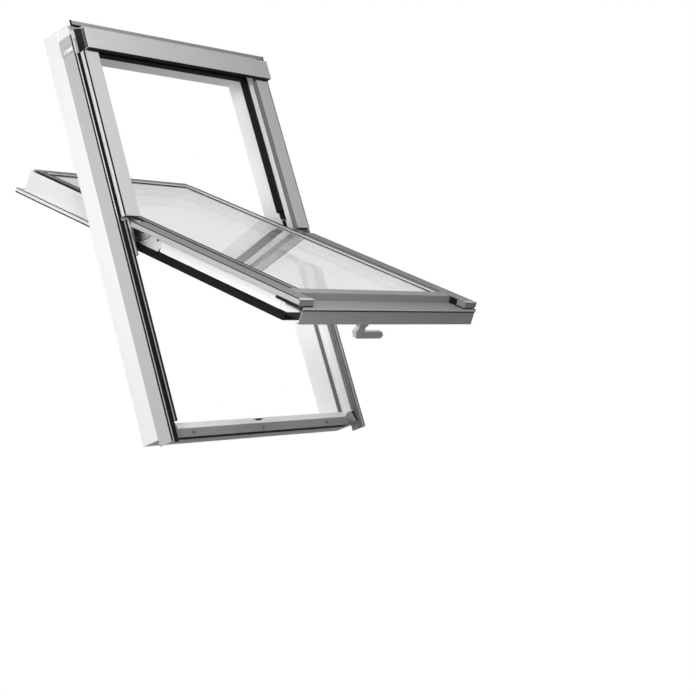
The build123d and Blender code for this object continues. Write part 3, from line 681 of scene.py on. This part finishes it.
# painted highlight on the upper tail facet of the lever
tailUpperHighlight = {
    "name": "lever_tail_upper_highlight", "body": "lever", "finish": paintedHighlight, "slot": "handle",
    "single": True, "sides": ("right",),
    "low": (-9, 83, 75.8), "high": (3, 98.4, 88.2),
    "cuts": [
        {"through": (-8.25, 98.44, 82), "away": (-0.848, -0.53, 0)},
        {"through": (-7.8, 98.7, 82), "away": (0.848, 0.53, 0)},
    ],
}
# painted highlight on the lower tail facet of the lever
tailLowerHighlight = {
    "name": "lever_tail_lower_highlight", "body": "lever", "finish": paintedHighlight, "slot": "handle",
    "single": True, "sides": ("right",),
    "low": (-9, 98.8, 75.8), "high": (3, 114.4, 88.2),
    "cuts": [
        {"through": (-8.25, 98.76, 82), "away": (-0.848, 0.53, 0)},
        {"through": (-7.8, 98.5, 82), "away": (0.848, -0.53, 0)},
    ],
}
# painted highlight on the lever bar
barHighlight = {
    "name": "lever_bar_highlight", "body": "lever", "finish": paintedHighlight, "slot": "handle",
    "single": True, "sides": ("right",),
    "low": (26.5, 96.2, 75.8), "high": (101, 96.8, 88.2),
}
topBead = {
    "name": "glazing_top_bead", "body": "sash", "finish": finishes["sash_pvc"],
    "low": (0, -14.6, 1033.5), "high": (288.5, -13, 1042.6),
}
bars = (
    lipBackShadeLine, lipFrontShadeLine, cladShadeLine, stripHighlight, sealLip, coverChannelShade, coverEdgeShadeLine, coverInnerShade, hoodLip,
    sealTail, guideLining, stileEdgeShadeLine, flangeLitStrip, cornerHook, hookArm, hookPlateShade, stripInnerShade,
    stripOuterShade, sideBead, railWedge, railSeal, endBoxHighlight, endGapShade, endSideGapShade, noseHighlight, noseShadow,
    baseSlot, tailUpperHighlight, tailLowerHighlight, barHighlight, plateClip, plateFootShadow, plateFaceShade, plateHighlight, hoodEndShade,
    hoodEndFrontShadeLine, hoodEndBackShadeLine, sillEndShade, sillGapShadow, capFill, capInlay, capDot, capLine, capHighlight,
    topBead,
)
for side in sideSigns:
    for bar in bars:
        if side in bar.get("sides", sideSigns):
            makeBar(bar, side)
    for arc in (slideRimShadeLine, slideRootShadeLine):
        makeArc(arc, side)
    for pin in (coverScrew, slideToe, slideToeRim):
        makePin(pin, side)
print("small pieces added")


# floor, light and camera

pureWhite = (1, 1, 1, 1)
floorLook = {
    "size": 30.0, "gap": 0.002, "colour": (0.46, 0.46, 0.46), "roughness": 0.8, "glow": 0.82,
    "share": 0.66,
}


def makeFloor(values):
    bpy.ops.object.select_all(action="DESELECT")
    level = cadBox[0][2] - values["gap"]
    bpy.ops.mesh.primitive_plane_add(size=values["size"], location=(0, 0, level))
    floor = bpy.context.object
    floor.name = "floor"
    material, tree, shader = newMaterial("pale floor")
    link = tree.links.new
    output = tree.nodes["Material Output"]
    shader.inputs["Base Color"].default_value = (*values["colour"], 1)
    shader.inputs["Roughness"].default_value = values["roughness"]
    # open from below, where the camera stands
    facing = addNode(tree, "ShaderNodeNewGeometry", (-200, 300))
    clear = addNode(tree, "ShaderNodeBsdfTransparent", (0, -400))
    pick = addNode(tree, "ShaderNodeMixShader", (300, 0))
    # pale to the eye and through glass, with the shadow kept
    glow = addNode(tree, "ShaderNodeEmission", (0, -250),
                   {"Color": pureWhite, "Strength": values["glow"]})
    path = addNode(tree, "ShaderNodeLightPath", (-600, 500))
    seen = addNode(tree, "ShaderNodeMath", (-400, 500), operation="MAXIMUM")
    share = addNode(tree, "ShaderNodeMath", (-200, 500), {1: values["share"]},
                    operation="MULTIPLY")
    pale = addNode(tree, "ShaderNodeMixShader", (150, 200))
    link(path.outputs["Is Camera Ray"], seen.inputs[0])
    link(path.outputs["Is Transmission Ray"], seen.inputs[1])
    link(seen.outputs["Value"], share.inputs[0])
    link(share.outputs["Value"], pale.inputs["Fac"])
    link(shader.outputs["BSDF"], pale.inputs[1])
    link(glow.outputs["Emission"], pale.inputs[2])
    link(facing.outputs["Backfacing"], pick.inputs["Fac"])
    link(pale.outputs["Shader"], pick.inputs[1])
    link(clear.outputs["BSDF"], pick.inputs[2])
    link(pick.outputs["Shader"], output.inputs["Surface"])
    floor.data.materials.append(material)


# soft light on the part, white to the eye, in reflections and through glass
worldLook = {"soft": 0.05, "white": 1.0}


def makeWorld(values):
    world = bpy.data.worlds.new("studio")
    bpy.context.scene.world = world
    world.use_nodes = True
    tree = world.node_tree
    link = tree.links.new
    soft = tree.nodes["Background"]
    soft.inputs["Color"].default_value = pureWhite
    soft.inputs["Strength"].default_value = values["soft"]
    white = addNode(tree, "ShaderNodeBackground", (0, -200),
                    {"Color": pureWhite, "Strength": values["white"]})
    path = addNode(tree, "ShaderNodeLightPath", (-600, 200))
    seen = addNode(tree, "ShaderNodeMath", (-300, 200), operation="MAXIMUM")
    shown = addNode(tree, "ShaderNodeMath", (-100, 200), operation="MAXIMUM")
    pick = addNode(tree, "ShaderNodeMixShader", (200, 0))
    link(path.outputs["Is Camera Ray"], seen.inputs[0])
    link(path.outputs["Is Glossy Ray"], seen.inputs[1])
    link(seen.outputs["Value"], shown.inputs[0])
    link(path.outputs["Is Transmission Ray"], shown.inputs[1])
    link(shown.outputs["Value"], pick.inputs["Fac"])
    link(soft.outputs["Background"], pick.inputs[1])
    link(white.outputs["Background"], pick.inputs[2])
    link(pick.outputs["Shader"], tree.nodes["World Output"].inputs["Surface"])


studioLamps = {
    "key lamp": {
        "place": (-3.45, -2.0, 1.0), "aim": (0, -0.1, 0.5), "size": 1.0, "power": 44.0,
    },
    "left lamp": {
        "place": (-3.6, 0.3, 0.9), "aim": (-0.3, -0.05, 0.5), "size": 1.0, "power": 38.0,
    },
    "near lamp": {
        "place": (-1.15, -1.35, 1.05), "aim": (-0.3, -0.1, 0.85), "size": 0.5, "power": 10.5,
    },
    "front lamp": {
        "place": (-0.7, -3.0, 0.5), "aim": (0, -0.1, 0.5), "size": 1.0, "power": 14.0,
    },
    "low lamp": {
        "place": (-1.0, -0.75, 0.12), "aim": (-0.35, -0.1, 0.8), "size": 0.3, "power": 1.3,
    },
    "rear lamp": {
        "place": (0.2, 1.3, 1.7), "aim": (0, 0, 0.2), "size": 1.2, "power": 3.6,
    },
    "right lamp": {
        "place": (3.7, 1.0, 1.0), "aim": (0, 0, 0.6), "size": 1.4, "power": 40.0,
    },
    "back lamp": {
        "place": (0.6, 3.8, 1.0), "aim": (0, 0, 0.6), "size": 1.4, "power": 42.0,
    },
}


def makeLamp(name, values):
    bpy.ops.object.light_add(type="AREA", location=values["place"])
    lamp = bpy.context.object
    lamp.name = name
    lamp.data.energy = values["power"]
    lamp.data.size = values["size"]
    toward = Vector(values["aim"]) - Vector(values["place"])
    lamp.rotation_euler = toward.to_track_quat("-Z", "Y").to_euler()
    lamp.visible_transmission = False  # no lamp seen through the panes


viewpoint = {
    "place": (-3.148116, -2.686110, -0.640370), "turn": (1.846614, 0.250512, -0.796703),
    "sensor": 36.0, "lens": 80.784, "shift": (0.19806, -0.12200),
}


def makeCamera(values):
    bpy.ops.object.camera_add(location=values["place"], rotation=values["turn"])
    camera = bpy.context.object
    camera.data.sensor_width = values["sensor"]
    camera.data.lens = values["lens"]
    camera.data.shift_x, camera.data.shift_y = values["shift"]
    bpy.context.scene.camera = camera


makeFloor(floorLook)
makeWorld(worldLook)
for lampName, lampValues in studioLamps.items():
    makeLamp(lampName, lampValues)
makeCamera(viewpoint)
bpy.context.scene.view_settings.view_transform = "Standard"
print("studio ready")
